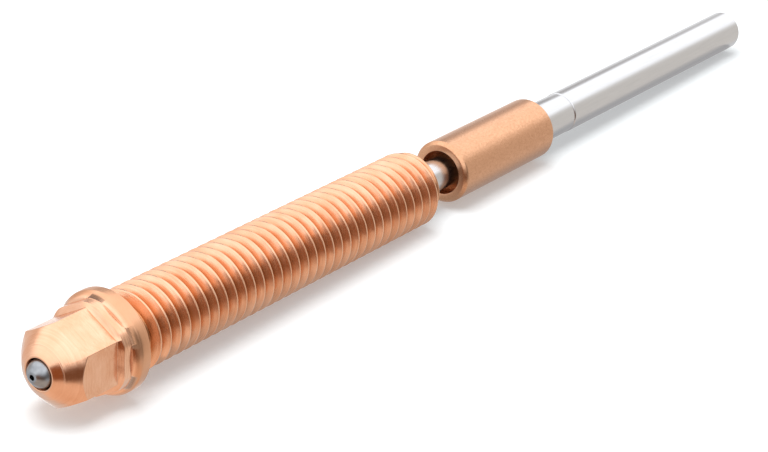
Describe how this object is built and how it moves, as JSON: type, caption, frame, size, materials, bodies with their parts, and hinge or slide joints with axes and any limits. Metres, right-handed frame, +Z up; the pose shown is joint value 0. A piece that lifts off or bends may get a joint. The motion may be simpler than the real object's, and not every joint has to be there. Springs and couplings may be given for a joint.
{
  "type": "three-d printer nozzle",
  "caption": "Long one-piece printer nozzle with a steel tip, hexagon head, threaded copper shank, cooling sleeve and polished steel guide tube.",
  "frame": {"origin": "point on the nozzle's axis in the plane of the collar's back face, which seats on the heater block", "axes": "+Z up as it lies; +X along the nozzle to the rear end of the guide tube, the axis dipping 1.25 degrees below +X; the tip points to -X; two corners of the hexagon point up and down"},
  "size_m": [0.0912, 0.0074, 0.0075],
  "materials": {
    "copper_body": "polished copper",
    "copper_sleeve": "satin copper",
    "hardened_tip": "ground, dark",
    "steel_tube": "polished"
  },
  "bodies": {
    "root": {"nozzle_body": "copper_body", "tip_insert": "hardened_tip", "heat_break": "steel_tube", "heat_sink_sleeve": "copper_sleeve", "guide_tube": "steel_tube"}
  },
  "joints": []
}
